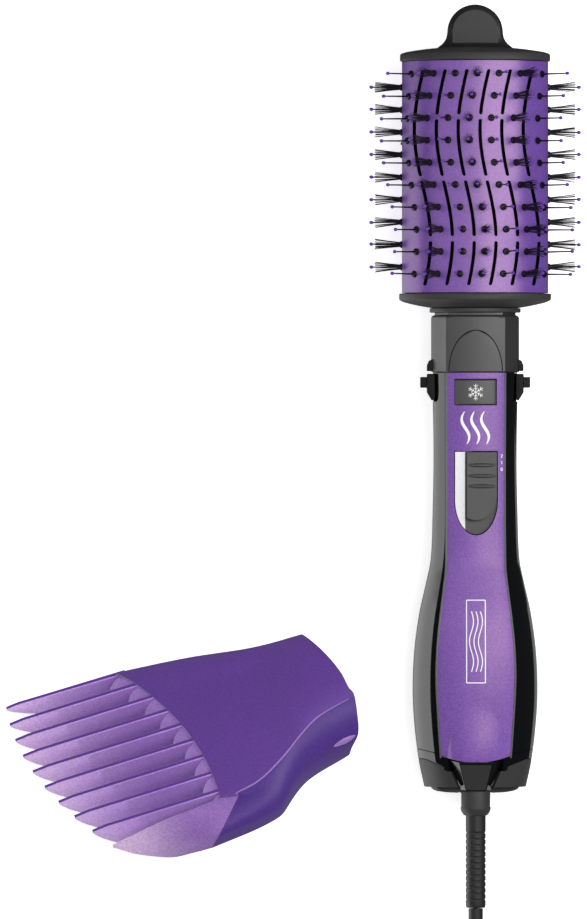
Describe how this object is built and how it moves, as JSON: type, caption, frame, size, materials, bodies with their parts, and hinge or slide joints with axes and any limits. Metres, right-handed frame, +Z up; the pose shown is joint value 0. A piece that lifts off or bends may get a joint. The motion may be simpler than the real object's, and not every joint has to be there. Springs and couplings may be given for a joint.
{
  "type": "hot air brush",
  "caption": "Handheld hot air styling brush with an oval bristled barrel, slide switch, cool-shot button, swivel mains cord and a separate comb nozzle.",
  "frame": {"origin": "on the surface the brush and the comb lie on, under the middle of their common box (cord, coil and plug not counted)", "axes": "+Y along the brush from its cord end to its cool tip, +Z up out of the surface and, within 4 degrees, out of the brush's front face, +X to the brush's right as seen from the front"},
  "size_m": [0.2578, 0.6336, 0.0854],
  "materials": {
    "pearl_purple": "fine metallic flake, satin",
    "comb_purple": "satin, fine grain",
    "gloss_black": "piano gloss",
    "satin_charcoal": "satin",
    "silver_white": "satin metallic",
    "cord_rubber": "semi-matt",
    "bristle_nylon": "translucent nylon",
    "steel": "plain",
    "plug_brass": "plain",
    "mica": "matt sheet",
    "heater_wire": "oxidised resistance wire",
    "board_green": "circuit board laminate",
    "inner_plastic": "matt moulding"
  },
  "bodies": {
    "handle": {"rear_shell": "gloss_black", "casing_screw_1": "steel", "casing_screw_2": "steel", "front_panel": "pearl_purple", "switch_plate": "satin_charcoal", "switch_inlay": "silver_white", "rear_cap": "satin_charcoal", "cord_boss": "gloss_black", "motor_can": "steel", "motor_mount": "inner_plastic", "heater_frame": "mica", "heater_coil": "heater_wire", "heat_shield": "mica", "thermostat": "steel", "air_spigot": "satin_charcoal", "circuit_board": "board_green", "ion_module": "satin_charcoal", "slide_switch": "inner_plastic", "cool_switch": "satin_charcoal", "release_spring_left": "steel", "release_spring_right": "steel", "live_wire": "cord_rubber", "neutral_wire": "cord_rubber", "cord": "cord_rubber", "cord_coil": "cord_rubber", "plug_body": "cord_rubber", "plug_blade_left": "plug_brass", "plug_blade_right": "plug_brass"},
    "brush_head": {"neck_sleeve": "satin_charcoal", "neck_ring": "satin_charcoal", "lower_cap": "satin_charcoal", "upper_cap": "satin_charcoal", "cool_tip": "satin_charcoal", "barrel": "pearl_purple", "inner_core": "pearl_purple", "bristle_row_01": "bristle_nylon", "bristle_row_02": "bristle_nylon", "bristle_row_03": "bristle_nylon", "bristle_row_04": "bristle_nylon", "bristle_row_05": "bristle_nylon", "bristle_row_06": "bristle_nylon", "bristle_row_07": "bristle_nylon", "bristle_row_08": "bristle_nylon", "bristle_row_09": "bristle_nylon", "bristle_row_10": "bristle_nylon", "side_bristles_right": "bristle_nylon", "side_bristles_left": "bristle_nylon"},
    "switch_slider": {"switch_slider": "satin_charcoal"},
    "cool_button": {"cool_button": "satin_charcoal"},
    "release_left": {"release_button_left": "gloss_black"},
    "release_right": {"release_button_right": "gloss_black"},
    "rotor": {"fan_impeller": "satin_charcoal", "motor_shaft": "steel"},
    "cord_swivel": {"swivel_collar": "satin_charcoal", "strain_relief": "cord_rubber"},
    "filter_cover": {"inlet_grille": "satin_charcoal", "lint_filter": "inner_plastic"},
    "comb": {"comb_nozzle": "comb_purple", "comb_collar": "satin_charcoal"}
  },
  "joints": [
    {"name": "head_release", "type": "slide", "parent": "handle", "child": "brush_head", "axis": [0, 0.9975, 0.0706], "range_m": [0, 0.05]},
    {"name": "switch_slide", "type": "slide", "parent": "handle", "child": "switch_slider", "axis": [0, -0.9975, -0.0706], "range_m": [0, 0.005]},
    {"name": "cool_button_press", "type": "slide", "parent": "handle", "child": "cool_button", "axis": [0, 0.0706, -0.9975], "range_m": [0, 0.0007], "stiffness_N_per_m": 1500},
    {"name": "release_left_press", "type": "slide", "parent": "handle", "child": "release_left", "axis": [1, 0, 0], "range_m": [0, 0.0012], "stiffness_N_per_m": 2500},
    {"name": "release_right_press", "type": "slide", "parent": "handle", "child": "release_right", "axis": [-1, 0, 0], "range_m": [0, 0.0012], "stiffness_N_per_m": 2500},
    {"name": "fan_spin", "type": "hinge", "parent": "handle", "child": "rotor", "pos_m": [0.08237, -0.11691, 0.02496], "axis": [0, 0.9975, 0.0706], "continuous": true},
    {"name": "cord_swivel_turn", "type": "hinge", "parent": "handle", "child": "cord_swivel", "pos_m": [0.08237, -0.1504, 0.03913], "axis": [0, 0.9975, 0.0706], "continuous": true},
    {"name": "filter_pull", "type": "slide", "parent": "handle", "child": "filter_cover", "axis": [0, -0.9975, -0.0706], "range_m": [0, 0.025]},
    {"name": "comb_lift", "type": "slide", "parent": "handle", "child": "comb", "axis": [0, 0, 1], "range_m": [0, 0.1]}
  ]
}
